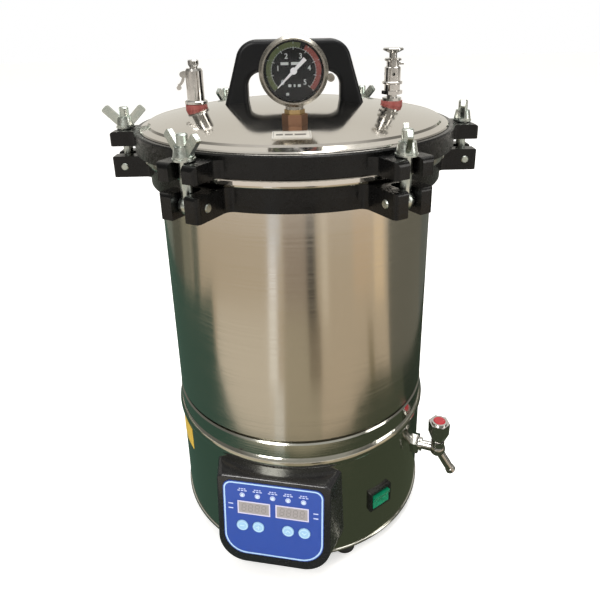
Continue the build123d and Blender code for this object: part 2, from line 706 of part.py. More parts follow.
def make_gauge_dial():
    disc = extrude(Circle(GAUGE_CAVITY_R) - Circle(DIAL_HOLE_R), DIAL_SHEET)
    return gauge_plane() * Pos(0, 0, DIAL_LOW) * disc


def make_gauge_pointer():
    """Needle with a thin tip and a thick tail on a short shaft."""
    low = DIAL_LOW + DIAL_SHEET + 1.2
    shaft_low = 6.0
    needle = make_face(Polyline((-POINTER_TAIL, -1.8), (0, -1.3), (POINTER_TIP, -0.4),
                                (POINTER_TIP, 0.4), (0, 1.3), (-POINTER_TAIL, 1.8), close=True))
    blade = Pos(0, 0, low) * extrude(needle + Circle(3), 0.8)
    blade += Pos(0, 0, shaft_low) * extrude(Circle(POINTER_SHAFT_R), low - shaft_low)
    return gauge_plane() * Rot(0, 0, POINTER_REST) * blade


def make_gauge_fitting():
    """Adapter: wide hexagon on the lid, small hexagon and neck into the case, nut under the lid."""
    y = -FITTING_CIRCLE
    seat = dome_height(FITTING_CIRCLE)
    under = dome_height(FITTING_CIRCLE, LID_SHEET)
    fitting = hexagon(GAUGE_HEX, seat - 6, GAUGE_HEX_TOP, 0, y) - dome_ball()
    fitting += hexagon(16, GAUGE_HEX_TOP - 1, GAUGE_SOCKET_Z, 0, y)
    fitting += rod(GAUGE_SHANK_R, under - 12, GAUGE_HEX_TOP, 0, y)
    fitting += rod(GAUGE_NECK_R, GAUGE_SOCKET_Z - 1, GAUGE_SOCKET_Z + GAUGE_NECK_H, 0, y)
    nut = hexagon(19, under - 7, under + 4, 0, y) & dome_ball(LID_SHEET)
    return fitting + nut


# ---------------------------------------------------------------- lid valves

def gasket_top():
    """Height of the flat faces that the two valves stand on."""
    return dome_height(FITTING_CIRCLE) + VALVE_GASKET_H


def make_valve_gaskets():
    top = gasket_top()
    gaskets = []
    for side in (-1, 1):
        x = side * FITTING_CIRCLE
        disc = rod(VALVE_GASKET_R, top - 8, top, x) - dome_ball()
        gaskets.append(disc - rod(VALVE_SHANK_R, top - 9, top + 1, x))
    return gaskets


def valve_shank(x):
    """Threaded shank through the lid with its nut below."""
    under = dome_height(FITTING_CIRCLE, LID_SHEET)
    nut = hexagon(19, under - 7, under + 4, x) & dome_ball(LID_SHEET)
    return rod(VALVE_SHANK_R, under - 14, gasket_top(), x) + nut


def lever_pivot():
    return Pos(-FITTING_CIRCLE - LEVER_PIVOT_OUT, 0, gasket_top() + LEVER_PIVOT_H)


def make_release_valve():
    """Manual steam release: barrel with a flange, a knob on top and an ear for the flip lever."""
    x = -FITTING_CIRCLE
    shoulder = RELEASE_BARREL_H - 2.5
    outline = Polyline(
        (0, 0), (RELEASE_FLANGE_R - 1, 0), (RELEASE_FLANGE_R, 1),
        (RELEASE_FLANGE_R, RELEASE_FLANGE_H - 1), (RELEASE_FLANGE_R - 1, RELEASE_FLANGE_H),
        (RELEASE_BARREL_R, RELEASE_FLANGE_H), (RELEASE_BARREL_R, shoulder),
        (RELEASE_BARREL_R - 1.5, RELEASE_BARREL_H), (4.2, RELEASE_BARREL_H),
        (4.2, RELEASE_BARREL_H + 1.5), (RELEASE_KNOB_R, RELEASE_BARREL_H + 4),
        (RELEASE_KNOB_R, RELEASE_BARREL_H + RELEASE_KNOB_H - 1),
        (RELEASE_KNOB_R - 1, RELEASE_BARREL_H + RELEASE_KNOB_H),
        (0, RELEASE_BARREL_H + RELEASE_KNOB_H), close=True)
    valve = Pos(x, 0, gasket_top()) * turned(make_face(outline))
    ear_r = 3.2
    ear = lever_pivot() * Rot(90, 0, 0) * Cylinder(ear_r, 9)
    ear += lever_pivot() * box_between((0, LEVER_PIVOT_OUT - 5), (-4.5, 4.5), (-ear_r, ear_r))
    valve += ear + valve_shank(x)
    valve -= lever_pivot() * box_between((-5, 3.9), (-2, 2), (-5, 5))
    valve += lever_pivot() * Rot(90, 0, 0) * Cylinder(LEVER_PIN_R, 10)
    return valve - rod(3, gasket_top() - 25, gasket_top() + 28, x)


def make_release_lever():
    """Flip lever: an eye on the pivot pin and a curved tail that hangs beside the barrel."""
    tail_r = 11.0
    centre = (-tail_r, -2)
    hook = make_face(CenterArc(centre, tail_r + 1.4, 0, 360)) - Pos(*centre) * Circle(tail_r - 1.4)
    keep = Pos(-2.5, -8) * Rectangle(8, 13)
    tail = (hook & keep) + Pos(-5.6, -14) * Circle(2.4)
    plan = Circle(2.8) + tail - Circle(LEVER_PIN_R + SLIDE_GAP)
    return lever_pivot() * extrude(Plane.XZ * plan, 1.7, both=True)


def make_safety_valve():
    """Spring safety valve: stacked collars, a barrel that holds the spring and a bored top."""
    x = FITTING_CIRCLE
    outline = Polyline(
        (0, 0), (10.4, 0), (10.4, 3.1), (5.6, 3.1), (5.6, 6.9), (8.5, 6.9), (8.5, 17.5),
        (STEM_CAP_R - 0.7, 17.5), (STEM_CAP_R, 18.2), (STEM_CAP_R, 19.6),
        (STEM_CAP_R - 0.7, 20.3), (CAGE_R, 20.3), (CAGE_R, 34.6), (CAGE_R - 1, 35.6), (6.6, 35.6),
        (6.6, 41.4), (8.2, 41.4), (8.9, 42.1), (8.9, 43.4), (8.2, CAGE_TOP_H), (0, CAGE_TOP_H),
        close=True)
    body = turned(make_face(outline)) + hexagon(19.5, 6.9, 10.6)
    body -= rod(CAGE_BORE_R, CAGE_LOW_H, SPRING_SEAT_H)
    vent = Pos(0, 0, 28) * Rot(90, 0, 0) * Cylinder(1.6, 40)
    body -= vent + Rot(0, 0, 90) * vent
    body -= rod(STEM_R + SLIDE_GAP, 4, CAGE_TOP_H + 1)
    pin = Pos(6, 0, 38.5) * Rot(0, 90, 0) * Cylinder(1.3, 11)
    body += pin - rod(5, 30, 45)
    return Pos(x, 0, gasket_top()) * body + valve_shank(x)


def make_safety_stem():
    """Pull stem with its flared cap above the valve and its spring plate inside."""
    low = CAGE_TOP_H + 0.4
    top = low + STEM_CAP_H
    cap = turned(make_face(Polyline(
        (0, low), (4.1, low), (4.1, low + 4.9), (STEM_CAP_R, top - 2.2), (STEM_CAP_R, top - 0.8),
        (STEM_CAP_R - 0.8, top), (0, top), close=True)))
    stem = cap + rod(STEM_R, CAGE_LOW_H - 5, low + 1)
    stem += rod(5.4, CAGE_LOW_H + 0.2, CAGE_LOW_H + 1.4)
    return Pos(FITTING_CIRCLE, 0, gasket_top()) * stem


def make_safety_spring():
    low = CAGE_LOW_H + 1.4 + SPRING_WIRE_R + SLIDE_GAP
    height = SPRING_SEAT_H - SPRING_WIRE_R - SLIDE_GAP - low
    path = Helix(pitch=height / SPRING_TURNS, height=height, radius=SPRING_R)
    section = Plane(origin=path @ 0, z_dir=path % 0) * Circle(SPRING_WIRE_R)
    return Pos(FITTING_CIRCLE, 0, gasket_top() + low) * sweep(section, path)


# ---------------------------------------------------------------- clamps

def make_swing_bolt():
    eye = Pos(0, 0, PIN_Z) * Sphere(EYE_R)
    eye &= box_between((-20, 20), (-EYE_WIDTH / 2, EYE_WIDTH / 2), (PIN_Z - 20, PIN_Z + 20))
    shank = rod(BOLT_R, PIN_Z, BOLT_TOP)
    shank = chamfer(shank.edges().filter_by(GeomType.CIRCLE).sort_by(Axis.Z)[-1:], 1.2)
    bolt = eye + shank
    return bolt - Pos(0, 0, PIN_Z) * Rot(90, 0, 0) * Cylinder(PIN_R + SLIDE_GAP, EYE_WIDTH * 2)


def make_washer():
    return ring(BOLT_R + 0.3, WASHER_R, WASHER_Z, NUT_Z)


def make_wing_nut():
    hub_height = 10.0
    hub = turned(make_face(Polyline((0, NUT_Z), (9, NUT_Z), (9, NUT_Z + 1.5), (7.4, NUT_Z + hub_height),
                                    (0, NUT_Z + hub_height), close=True)))
    wing = make_face(Polyline((4, 2.2), (8.2, 0.9), (23.9, 16.9), (17.4, 23.1), (4, 9.3),
                              close=True))
    wing = fillet(wing.vertices().sort_by(Axis.Y)[-2:], 2.2)
    blade = Pos(0, 0, NUT_Z) * extrude(Plane.XZ * wing, 2.1, both=True)
    nut = hub + blade + Rot(0, 0, 180) * blade
    return nut - rod(BOLT_R + SLIDE_GAP, NUT_Z - 1, NUT_Z + 30)


# ---------------------------------------------------------------- output

def all_pieces():
    pieces = {
        "base_shell": make_base_shell(), "base_plate": make_base_plate(),
        "rubber_feet": make_feet(), "body_jacket": make_body_jacket(),
        "chamber_vessel": make_chamber(), "rim_band": make_rim_band(),
        "flange_ring": make_flange_ring(), "hinge_pins": make_hinge_pins(),
        "heating_element": make_heating_element(), "sieve_plate": make_sieve_plate(),
        "basket": make_basket(), "drain_valve": make_drain_valve(),
        "drain_knob": make_drain_knob(), "drain_knob_cap": make_drain_knob_cap(),
        "control_housing": make_control_housing(), "control_panel": make_control_panel(),
        "display_windows": make_display_windows(), "indicator_leds": make_indicator_leds(),
        "control_board": make_control_board(), "rocker_bezel": make_rocker_bezel(),
        "rocker": make_rocker(), "power_inlet": make_power_inlet(),
        "lid_plate": make_lid_plate(), "lid_ring": make_lid_ring(),
        "lid_gasket": make_lid_gasket(), "handle": make_handle(),
        "handle_screws": make_handle_screws(), "gauge_case": make_gauge_case(),
        "gauge_dial": make_gauge_dial(), "gauge_glass": make_gauge_glass(),
        "gauge_pointer": make_gauge_pointer(), "gauge_fitting": make_gauge_fitting(),
        "valve_gaskets": make_valve_gaskets(), "release_valve": make_release_valve(),
        "release_lever": make_release_lever(), "safety_valve": make_safety_valve(),
        "safety_stem": make_safety_stem(), "safety_spring": make_safety_spring(),
    }
    for index, u in enumerate(BUTTON_U, start=1):
        pieces[f"button_{index}"] = make_button(u)
    bolt, washer, nut = make_swing_bolt(), make_washer(), make_wing_nut()
    for index, angle in enumerate(clamp_angles()):
        place = Rot(0, 0, angle) * Pos(BOLT_CIRCLE, 0, 0)
        pieces[f"swing_bolt_{index + 1}"] = place * bolt
        pieces[f"washer_{index + 1}"] = place * washer
        wings = Rot(0, 0, WING_TURNS[index] - angle)
        pieces[f"wing_nut_{index + 1}"] = place * wings * nut
    return pieces


def main():
    os.makedirs("parts", exist_ok=True)
    for name, solids in all_pieces().items():
        shape = Compound(children=solids) if isinstance(solids, list) else solids
        export_step(shape, f"parts/{name}.step")


main()
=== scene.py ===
"""Looks of a benchtop autoclave around its CAD frame: camera, room, finishes and small details.

Lengths are metres in the frame's own axes: +Z up, -Y the front, +X the right. Angles are degrees.
"""
import math

import bmesh
import bpy
from mathutils import Matrix, Vector


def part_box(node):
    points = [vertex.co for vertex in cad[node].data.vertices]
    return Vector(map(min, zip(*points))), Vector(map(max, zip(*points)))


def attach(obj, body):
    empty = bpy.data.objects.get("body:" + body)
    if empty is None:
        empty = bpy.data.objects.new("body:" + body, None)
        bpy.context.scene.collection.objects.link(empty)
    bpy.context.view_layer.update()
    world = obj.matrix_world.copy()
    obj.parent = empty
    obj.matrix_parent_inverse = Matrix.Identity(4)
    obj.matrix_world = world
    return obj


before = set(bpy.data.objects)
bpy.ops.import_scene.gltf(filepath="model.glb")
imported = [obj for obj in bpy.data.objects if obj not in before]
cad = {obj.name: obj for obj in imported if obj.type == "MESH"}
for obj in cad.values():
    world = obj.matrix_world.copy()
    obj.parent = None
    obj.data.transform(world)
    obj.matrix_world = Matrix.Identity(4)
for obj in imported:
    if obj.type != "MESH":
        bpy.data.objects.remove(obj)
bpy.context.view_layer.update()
MM = 0.001

# Camera: the lens is in millimetres, the shift in shares of the picture's width
CAMERA_PLACE = (0.0, -0.6115, 0.5825)
CAMERA_DOWN = 19.96
CAMERA_TURN = 1.16
CAMERA_ROLL = -0.99
CAMERA_LENS = 33.3
CAMERA_SHIFT = (-0.0131, -0.1302)

# Gauge face, from the box of its dial; the scale runs clockwise
dial_low, dial_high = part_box("gauge_dial")
GAUGE_X = (dial_low.x + dial_high.x) / 2
GAUGE_Z = (dial_low.z + dial_high.z) / 2
DIAL_FRONT_Y = dial_low.y
DIAL_R = (dial_high.x - dial_low.x) / 2
DIAL_INK = 0.08 * MM
SCALE_START = 225.0
SCALE_SWEEP = 270.0
SCALE_TICKS = 40
BAND_R = 0.84 * DIAL_R
BAND_WIDTH = 0.17 * DIAL_R
NUMBER_R = 0.53 * DIAL_R
NUMBER_SIZE = 0.24 * DIAL_R

# Height of the gauge fitting above its wide hexagon
FITTING_COLLAR = 8 * MM

# Control face: direction from the vessel axis, tilt, and the distance and height of its middle
FACE_ANGLE = -101.4
FACE_TILT = 5.6
FACE_OUT = 0.168
FACE_HEIGHT = 0.085
PANEL_SHEET = 0.8 * MM
PANEL_HALF = 54.3 * MM
PANEL_TOP = 43 * MM
PANEL_BOTTOM = -48 * MM
BORDER_INSET = 1.6 * MM
DISPLAY_PLACES = (-20.7 * MM, 20.7 * MM)
DISPLAY_HEIGHT = 11.6 * MM
DISPLAY_SIZE = (33 * MM, 13.4 * MM)
DISPLAY_RIM = 1.3 * MM
DIGIT_SIZE = (4.2 * MM, 8.4 * MM)
DIGIT_BAR = 0.85 * MM
DIGIT_STEP = 7.2 * MM
DIGIT_SLANT = 0.1
BUTTON_PLACES = (-33.8 * MM, -16.2 * MM, 16.2 * MM, 33.8 * MM)
BUTTON_HEIGHT = -11.4 * MM
BUTTON_STAND = 0.9 * MM
LED_STEP = 16.5 * MM
LED_HEIGHT = 27 * MM

# Sphere that the lid's dome is part of, and the blank plate that lies on it
DOME_BALL_R = 695.7 * MM
PLATE_PLACE = (-3 * MM, 136 * MM)
PLATE_HALF = (17 * MM, 8 * MM)
PLATE_SHEET = 0.7 * MM
PLATE_INK = 0.05 * MM

# Base shell and the sticker on its left side
BASE_R = 151 * MM
LABEL_HEIGHTS = (0.104, 0.133)
LABEL_ANGLES = (186.0, 211.0)
LABEL_STEPS = 20

# Wedges of ground that only the steel mirrors: azimuth from the front and positive to the right,
# half width, near and far distance, colour
FLOOR_PATCHES = (
    (-43, 24, 0.30, 0.75, (0.75, 0.67, 0.53)),
    (1, 13, 0.25, 0.75, (0.47, 0.41, 0.29)),
    (-2, 9, 0.75, 1.5, (0.36, 0.29, 0.22)),
    (11, 4.5, 0.48, 0.75, (0.27, 0.22, 0.15)),
    (9.5, 3.4, 0.70, 1.5, (0.06, 0.055, 0.045)),
    (-20, 3.2, 0.48, 0.80, (1.02, 0.97, 0.86)),
    (-19.5, 3.0, 0.80, 1.1, (1.10, 1.06, 1.02)),
    (-17.5, 4.5, 1.1, 1.5, (0.76, 0.79, 0.82)),
    (-16, 3.5, 0.28, 0.48, (0.84, 0.80, 0.70)),
    (19.5, 2.4, 0.70, 1.5, (0.80, 0.70, 0.54)),
    (50, 8, 0.80, 1.5, (0.69, 0.53, 0.35)),
    (65, 5, 0.75, 1.5, (0.90, 0.70, 0.45)),
    (56, 2.5, 0.45, 0.65, (0.32, 0.26, 0.16)),
    (98, 24, 0.42, 2.5, (0.17, 0.165, 0.13)),
    (146, 24, 0.42, 2.5, (0.13, 0.14, 0.12)),
    (-88, 4, 0.60, 2.5, (0.15, 0.16, 0.12)),
    (-99, 6, 0.60, 2.5, (0.27, 0.26, 0.19)),
    (-114, 9, 0.60, 2.5, (0.12, 0.12, 0.09)),
    (-148, 26, 0.60, 2.5, (0.20, 0.22, 0.18)),
)
GROUND_COLOR = (0.60, 0.50, 0.36)
FAR_GROUND_COLOR = (0.95, 0.88, 0.80)
GROUND_REACH = 1.5
FAR_GROUND_REACH = 6

# Tabletop that only the steel mirrors: its front edge from the left end to the middle and from the
# middle to the right end, how far back it goes, and the colours of its three parts
TABLE_MIDDLE_X = -0.05
TABLE_LEFT_EDGE = ((-0.75, -0.25), (-0.50, -0.20), (-0.34, -0.22), (-0.26, -0.24),
                   (-0.15, -0.30), (TABLE_MIDDLE_X, -0.325))
TABLE_RIGHT_EDGE = ((TABLE_MIDDLE_X, -0.325), (0.10, -0.325), (0.21, -0.30), (0.28, -0.305),
                    (0.36, -0.28), (0.42, -0.22), (0.44, -0.13), (0.44, 0.0))
TABLE_DEPTH = 1
TABLE_LEFT_COLOR = (0.058, 0.108, 0.082)
TABLE_RIGHT_COLOR = (0.068, 0.080, 0.050)
TABLE_BACK_COLOR = (0.030, 0.042, 0.028)

# Heights of the mirrored cards and the floor, one just above another so that none coincide
FAR_GROUND_Z = -0.008
GROUND_Z = -0.007
PATCH_Z = -0.006
PATCH_Z_STEP = 0.0002
TABLE_Z = -0.001
FLOOR_Z = -0.0005
FLOOR_REACH = 9

# Shades of the room from straight down, 0, to straight up, 1
ROOM_SHADES = (
    (0.40, (0.30, 0.27, 0.22, 1)),
    (0.50, (0.70, 0.68, 0.62, 1)),
    (0.72, (0.72, 0.69, 0.63, 1)),
    (1.00, (1.0, 0.98, 0.94, 1)),
)

# Lamps: name, place, point aimed at, size, power, colour
LAMPS = (
    ("window", (-0.9, -1.7, 1.9), (0, 0, 0.35), (0.7, 1.3), 34, (1.0, 0.98, 0.95)),
    ("ceiling", (0.3, 0.3, 2.4), (0, 0, 0.4), (1.6, 1.6), 40, (1.0, 0.99, 0.97)),
    ("fill", (1.9, -0.8, 1.0), (0, 0, 0.3), (0.6, 1.2), 10, (1.0, 0.97, 0.92)),
)


# ---------------------------------------------------------------- shader helpers

def add(owner, kind, **inputs):
    """New shader node of a material or world; inputs are set by name, with _ for a space."""
    fresh = owner.node_tree.nodes.new("ShaderNode" + kind)
    for socket, value in inputs.items():
        fresh.inputs[socket.replace("_", " ")].default_value = value
    return fresh


def join(owner, source, target):
    """Link from an output to an input."""
    owner.node_tree.links.new(source, target)


def new_material(name, color, roughness, metallic=0.0, **sockets):
    """Material with one Principled shader; sockets are its other inputs, with _ for a space."""
    made = bpy.data.materials.new(name)
    made.use_nodes = True
    shader = shader_of(made)
    shader.inputs["Base Color"].default_value = (*color, 1)
    shader.inputs["Roughness"].default_value = roughness
    shader.inputs["Metallic"].default_value = metallic
    for socket, value in sockets.items():
        shader.inputs[socket.replace("_", " ")].default_value = value
    return made


def shader_of(made):
    return made.node_tree.nodes["Principled BSDF"]


def grain(made, scale, detail=3.0, stretch=(1, 1, 1)):
    """Noise over the object's own coordinates; a stretch draws it out into streaks."""
    place = add(made, "TexCoord")
    mapping = add(made, "Mapping", Scale=stretch)
    noise = add(made, "TexNoise", Scale=scale, Detail=detail, Roughness=0.6)
    join(made, place.outputs["Object"], mapping.inputs["Vector"])
    join(made, mapping.outputs["Vector"], noise.inputs["Vector"])
    return noise.outputs["Fac"]


def spread(made, source, low, high, start=0.3, stop=0.7):
    """Map a value from start..stop to low..high."""
    mapped = add(made, "MapRange", From_Min=start, From_Max=stop, To_Min=low, To_Max=high)
    join(made, source, mapped.inputs["Value"])
    return mapped.outputs["Result"]


def vary_roughness(made, source, low, high):
    join(made, spread(made, source, low, high), shader_of(made).inputs["Roughness"])


def vary_color(made, source, first, second, start=0.3, stop=0.7):
    """Blend the base colour from first to second as the source goes from start to stop."""
    mix = add(made, "Mix")
    mix.data_type = "RGBA"
    ends = [socket for socket in mix.inputs if socket.type == "RGBA"]
    ends[0].default_value = (*first, 1)
    ends[1].default_value = (*second, 1)
    join(made, spread(made, source, 0, 1, start, stop), mix.inputs["Factor"])
    result = next(socket for socket in mix.outputs if socket.type == "RGBA")
    join(made, result, shader_of(made).inputs["Base Color"])


def relief(made, source, height, strength=0.5):
    """Raise the surface by the source, as bump."""
    bump = add(made, "Bump", Strength=strength, Distance=height)
    join(made, source, bump.inputs["Height"])
    join(made, bump.outputs["Normal"], shader_of(made).inputs["Normal"])


# ---------------------------------------------------------------- finishes

def brushed_steel(name, color, roughness, brushing):
    """Stainless sheet with fine lines that run round the vessel."""
    made = new_material(name, color, roughness, 1.0, Anisotropic=0.55, Anisotropic_Rotation=0.25)
    tangent = add(made, "Tangent")
    tangent.direction_type = "RADIAL"
    tangent.axis = "Z"
    join(made, tangent.outputs["Tangent"], shader_of(made).inputs["Tangent"])
    lines = grain(made, 1.0, 2.0, (5, 5, 1500))
    vary_roughness(made, lines, roughness - 0.05, roughness + 0.07)
    relief(made, lines, brushing, 0.35)
    return made


def polished_steel(name, color, low, high):
    """Mirror finish with faint smears and hairlines."""
    made = new_material(name, color, low, 1.0)
    vary_roughness(made, grain(made, 24, 5.0), low, high)
    relief(made, grain(made, 60, 3.0, (1, 8, 8)), 0.00004, 0.25)
    return made


def black_enamel():
    """Thick black enamel over a sand casting: glossy, slightly lumpy."""
    made = new_material("black_enamel", (0.003, 0.003, 0.003), 0.3, Specular_IOR_Level=0.22,
                        Coat_Weight=0.12, Coat_Roughness=0.1)
    vary_roughness(made, grain(made, 90, 4.0), 0.16, 0.36)
    relief(made, grain(made, 150, 4.0), 0.0008, 0.5)
    return made


def zinc_plate():
    """Zinc plate, slightly green and cloudy."""
    made = new_material("zinc_plate", (0.50, 0.54, 0.51), 0.3, 1.0)
    vary_color(made, grain(made, 130, 4.0), (0.44, 0.50, 0.47), (0.60, 0.62, 0.57))
    vary_roughness(made, grain(made, 400, 3.0), 0.2, 0.4)
    relief(made, grain(made, 700, 2.0), 0.00008, 0.3)
    return made


def chrome_plate():
    """Chrome plate, slightly smeared."""
    made = new_material("chrome_plate", (0.56, 0.55, 0.53), 0.1, 1.0)
    vary_roughness(made, grain(made, 180, 4.0), 0.06, 0.2)
    relief(made, grain(made, 300, 2.0), 0.00006, 0.25)
    return made


def nickel_bezel():
    """Satin nickel of the gauge's case and ring."""
    made = new_material("nickel_bezel", (0.36, 0.34, 0.30), 0.26, 1.0)
    vary_color(made, grain(made, 90, 4.0), (0.30, 0.285, 0.25), (0.42, 0.40, 0.36))
    vary_roughness(made, grain(made, 320, 3.0), 0.2, 0.36)
    return made


def brass_fitting():
    """Turned brass, a darker brown on the wide hexagon that meets the lid."""
    made = new_material("brass_fitting", (0.62, 0.42, 0.16), 0.28, 1.0)
    place = add(made, "TexCoord")
    parts = add(made, "SeparateXYZ")
    join(made, place.outputs["Object"], parts.inputs["Vector"])
    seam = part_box("gauge_fitting")[1].z - FITTING_COLLAR
    vary_color(made, parts.outputs["Z"], (0.30, 0.17, 0.11), (0.50, 0.36, 0.18),
               seam - 0.0004, seam + 0.0004)
    vary_roughness(made, grain(made, 300, 3.0), 0.3, 0.5)
    return made


def moulded(name, color, low, high, bump=0.00005, coat=0.0, specular=0.5):
    """Moulded plastic with a faint texture; low and high are its roughness."""
    made = new_material(name, color, low, Coat_Weight=coat, Coat_Roughness=0.08,
                        Specular_IOR_Level=specular)
    vary_roughness(made, grain(made, 260, 4.0), low, high)
    relief(made, grain(made, 900, 3.0), bump, 0.35)
    return made


def mottled(name, first, second, low, high, scale=200, bump=0.0001):
    """Two close shades in soft patches, for rubber, fibre and paint."""
    made = new_material(name, first, low)
    vary_color(made, grain(made, scale, 5.0), first, second)
    vary_roughness(made, grain(made, scale * 2, 3.0), low, high)
    relief(made, grain(made, scale * 4, 3.0), bump, 0.4)
    return made


def switch_green():
    """Glossy green cap of the rocker switch."""
    made = new_material("switch_green", (0.004, 0.19, 0.09), 0.2, Coat_Weight=0.5,
                        Coat_Roughness=0.06)
    vary_color(made, grain(made, 90, 3.0), (0.003, 0.15, 0.07), (0.006, 0.24, 0.12))
    vary_roughness(made, grain(made, 400, 3.0), 0.14, 0.3)
    return made


def clear_glass():
    """Gauge glass, with a low index so that it bends the view only a little."""
    made = new_material("gauge_glass", (1, 1, 1), 0.02, Transmission_Weight=1.0, IOR=1.25)
    vary_roughness(made, grain(made, 60, 3.0), 0.0, 0.04)
    return made


def drawn_tube():
    """Dull sheath of the heating element."""
    made = new_material("heater_tube", (0.30, 0.28, 0.27), 0.35, 1.0)
    vary_color(made, grain(made, 25, 4.0), (0.26, 0.23, 0.21), (0.40, 0.38, 0.36))
    vary_roughness(made, grain(made, 200, 3.0), 0.3, 0.5)
    return made


FINISH = {
    "jacket": brushed_steel("body_steel", (0.62, 0.585, 0.53), 0.17, 0.00002),
    "base": brushed_steel("base_steel", (0.56, 0.56, 0.50), 0.12, 0.00001),
    "plain": brushed_steel("inner_steel", (0.58, 0.57, 0.55), 0.26, 0.00003),
    "lid": polished_steel("lid_mirror", (0.66, 0.63, 0.58), 0.06, 0.14),
    "enamel": black_enamel(),
    "zinc": zinc_plate(),
    "chrome": chrome_plate(),
    "nickel": nickel_bezel(),
    "brass": brass_fitting(),
    "heater": drawn_tube(),
    "glass": clear_glass(),
    "green": switch_green(),
    "housing": moulded("housing_black", (0.014, 0.014, 0.016), 0.16, 0.3, 0.00004, 0.3),
    "bakelite": moulded("handle_black", (0.0045, 0.005, 0.006), 0.3, 0.46, 0.00008, 0.0, 0.22),
    "switch": moulded("switch_black", (0.008, 0.008, 0.008), 0.22, 0.36),
    "panel": moulded("panel_blue", (0.022, 0.068, 0.36), 0.3, 0.42, 0.00003),
    "border": moulded("panel_border", (0.42, 0.62, 0.86), 0.35, 0.5, 0.00002),
    "frame": moulded("display_frame", (0.62, 0.60, 0.76), 0.35, 0.5, 0.00002),
    "mark": moulded("panel_mark", (0.55, 0.62, 0.88), 0.4, 0.55, 0.00002),
    "plate": mottled("blank_plate", (0.50, 0.48, 0.44), (0.60, 0.58, 0.53), 0.35, 0.5, 150),
    "engraving": mottled("plate_dashes", (0.10, 0.095, 0.085), (0.15, 0.14, 0.125), 0.5, 0.6),
    "label": mottled("blank_label", (0.62, 0.40, 0.035), (0.70, 0.47, 0.05), 0.4, 0.55, 80),
    "display": moulded("display_grey", (0.36, 0.335, 0.33), 0.12, 0.22, 0.00002, 0.2),
    "digit": moulded("display_digit", (0.22, 0.195, 0.195), 0.3, 0.45, 0.00002),
    "button": moulded("button_blue", (0.33, 0.56, 0.78), 0.3, 0.45, 0.00003),
    "button_mark": moulded("button_mark", (0.56, 0.76, 0.86), 0.35, 0.5, 0.00002),
    "led": moulded("led_lens", (0.62, 0.74, 0.90), 0.1, 0.2, 0.00001, 0.4),
    "cap": moulded("cap_red", (0.42, 0.02, 0.03), 0.16, 0.3, 0.00003, 0.3),
    "dial": moulded("dial_black", (0.004, 0.005, 0.006), 0.45, 0.6, 0.00002, 0.0, 0.2),
    "pointer": moulded("pointer_white", (0.72, 0.72, 0.74), 0.35, 0.5, 0.00001),
    "print": moulded("dial_print", (0.50, 0.53, 0.52), 0.45, 0.6, 0.00001),
    "arc_green": mottled("arc_green", (0.065, 0.10, 0.030), (0.11, 0.13, 0.045), 0.4, 0.55, 300),
    "arc_red": mottled("arc_red", (0.20, 0.035, 0.03), (0.28, 0.07, 0.055), 0.4, 0.55, 300),
    "rubber": mottled("foot_rubber", (0.010, 0.010, 0.010), (0.022, 0.022, 0.021), 0.65, 0.85),
    "silicone": mottled("lid_silicone", (0.55, 0.54, 0.50), (0.66, 0.65, 0.61), 0.5, 0.65),
    "gasket": mottled("gasket_red", (0.26, 0.055, 0.05), (0.36, 0.10, 0.09), 0.4, 0.6, 260),
    "board": mottled("board_green", (0.01, 0.07, 0.03), (0.02, 0.10, 0.045), 0.3, 0.5, 150),
}

# Finish of each CAD node; the buttons have their own, and the clamps that aren't listed are zinc
NODE_FINISH = {
    "base_shell": "base", "base_plate": "plain", "rubber_feet": "rubber", "body_jacket": "jacket",
    "chamber_vessel": "plain", "rim_band": "lid", "flange_ring": "enamel", "hinge_pins": "zinc",
    "heating_element": "heater", "sieve_plate": "plain", "basket": "plain",
    "drain_valve": "chrome", "drain_knob": "chrome", "drain_knob_cap": "cap",
    "control_housing": "housing", "control_panel": "panel", "display_windows": "display",
    "indicator_leds": "led", "control_board": "board", "rocker_bezel": "switch",
    "rocker": "green", "power_inlet": "switch", "lid_plate": "lid", "lid_ring": "enamel",
    "lid_gasket": "silicone", "handle": "bakelite", "handle_screws": "zinc",
    "gauge_case": "nickel", "gauge_dial": "dial", "gauge_glass": "glass",
    "gauge_pointer": "pointer", "gauge_fitting": "brass", "valve_gaskets": "gasket",
    "release_valve": "chrome", "release_lever": "chrome", "safety_valve": "chrome",
    "safety_stem": "chrome", "safety_spring": "zinc",
}


def finish_cad_nodes():
    for name, node in cad.items():
        kind = NODE_FINISH.get(name)
        if kind is None:
            kind = "button" if name.startswith("button") else "zinc"
        node.data.materials.clear()
        node.data.materials.append(FINISH[kind])


# ---------------------------------------------------------------- mesh helpers

def new_object(name, data):
    """New object in the scene."""
    made = bpy.data.objects.new(name, data)
    bpy.context.scene.collection.objects.link(made)
    return made


def add_piece(name, work, finish, body, place=Matrix.Identity(4)):
    """Turn a bmesh into a piece of the object that rides on a body."""
    bmesh.ops.recalc_face_normals(work, faces=work.faces)
    mesh = bpy.data.meshes.new(name)
    work.to_mesh(mesh)
    work.free()
    mesh.transform(place)
    mesh.materials.append(FINISH[finish])
    piece = new_object(name, mesh)
    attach(piece, body)
    return piece


def add_slab(work, outline, low, high):
    """Closed flat plate with the given outline between two heights."""
    floor = [work.verts.new((x, y, low)) for x, y in outline]
    roof = [work.verts.new((x, y, high)) for x, y in outline]
    work.faces.new(list(reversed(floor)))
    work.faces.new(roof)
    count = len(outline)
    for index in range(count):
        after = (index + 1) % count
        work.faces.new((floor[index], floor[after], roof[after], roof[index]))


def add_skin(work, rows, closed=False):
    """Faces between rows of four corners, capped at both ends unless the rows form a loop."""
    ahead_rows = rows[1:] + rows[:1] if closed else rows[1:]
    for row, ahead in zip(rows, ahead_rows):
        for corner in range(4):
            turn = (corner + 1) % 4
            work.faces.new((row[corner], row[turn], ahead[turn], ahead[corner]))
    if not closed:
        work.faces.new(rows[0])
        work.faces.new(list(reversed(rows[-1])))


